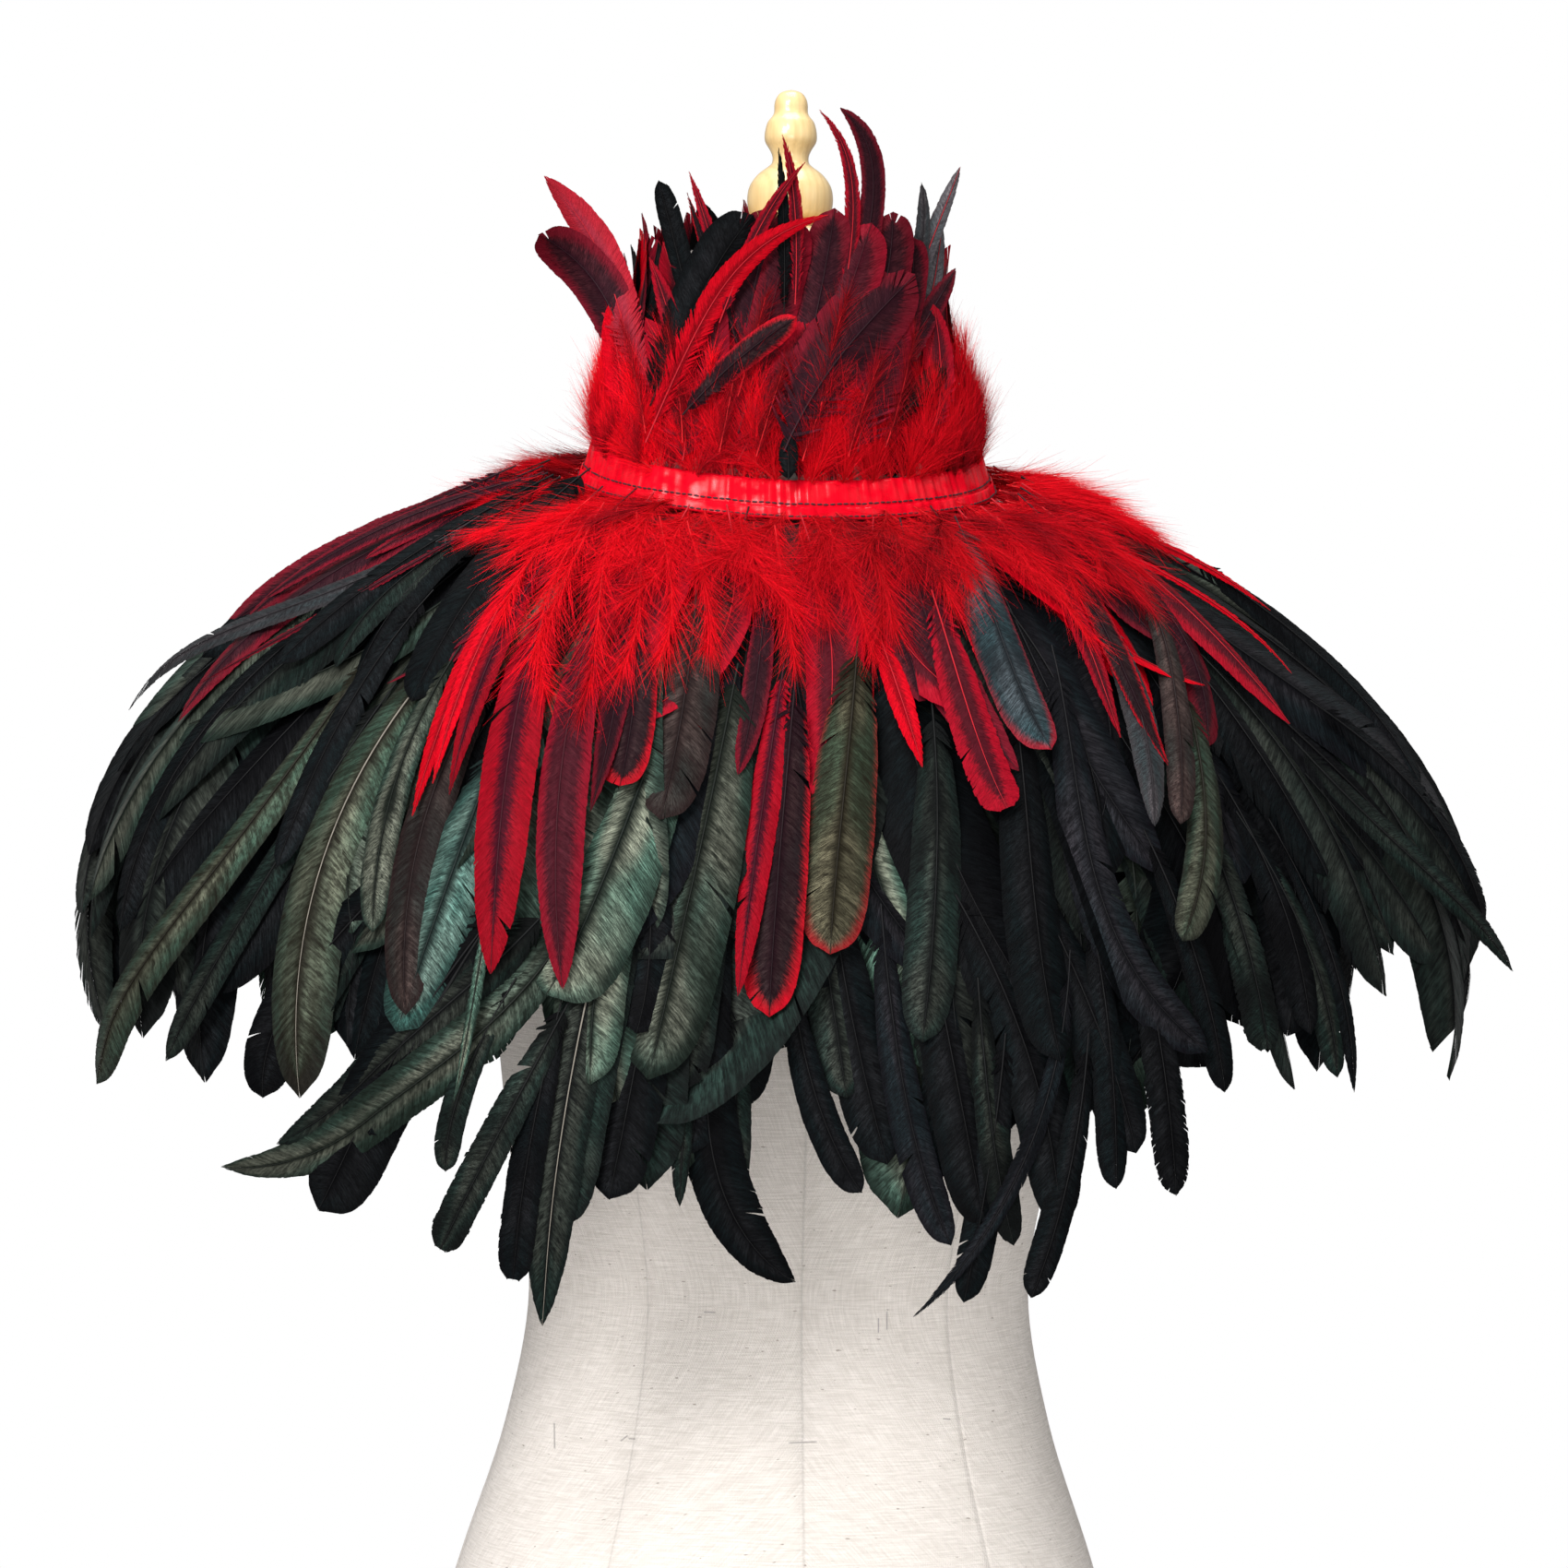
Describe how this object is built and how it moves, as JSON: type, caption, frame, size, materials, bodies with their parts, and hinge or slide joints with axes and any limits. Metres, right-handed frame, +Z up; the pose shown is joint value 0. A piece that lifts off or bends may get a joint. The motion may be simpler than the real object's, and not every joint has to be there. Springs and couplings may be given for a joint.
{
  "type": "feather cape on dress form",
  "caption": "Rooster feather shoulder cape with a standing feather collar and a satin neck ribbon, worn on a linen-covered limbless dress form with a turned wooden finial",
  "frame": {"origin": "centre of the underside of the dress form's base board", "axes": "+Z up, -Y the front of the form, +X to the right of someone who faces the front"},
  "size_m": [0.6849, 0.4632, 0.7882],
  "materials": {
    "pine": "turned pine, clear varnish",
    "linen": "natural linen with slubs and dark fibre specks",
    "black_cotton": "plain matt cotton",
    "tail_feather": "black rooster tail feather with a green and bronze sheen",
    "dyed_feather": "rooster feather dyed red, dark in the vane",
    "down_feather": "fluffy down dyed scarlet",
    "red_satin": "glossy satin ribbon"
  },
  "bodies": {
    "root": {"form_base": "pine", "form_torso": "linen", "form_neck_cap": "pine", "form_finial": "pine", "yoke": "black_cotton", "under_layer_right": "tail_feather", "under_layer_left": "tail_feather", "fringe_long_under": "tail_feather", "fringe_long_upper": "tail_feather", "fringe_middle": "tail_feather", "fringe_short": "dyed_feather", "fringe_down": "down_feather", "neck_band": "red_satin", "band_binding": "red_satin", "closing_lap": "red_satin", "collar_fringe_inner": "dyed_feather", "collar_fringe_outer": "dyed_feather"}
  },
  "joints": []
}
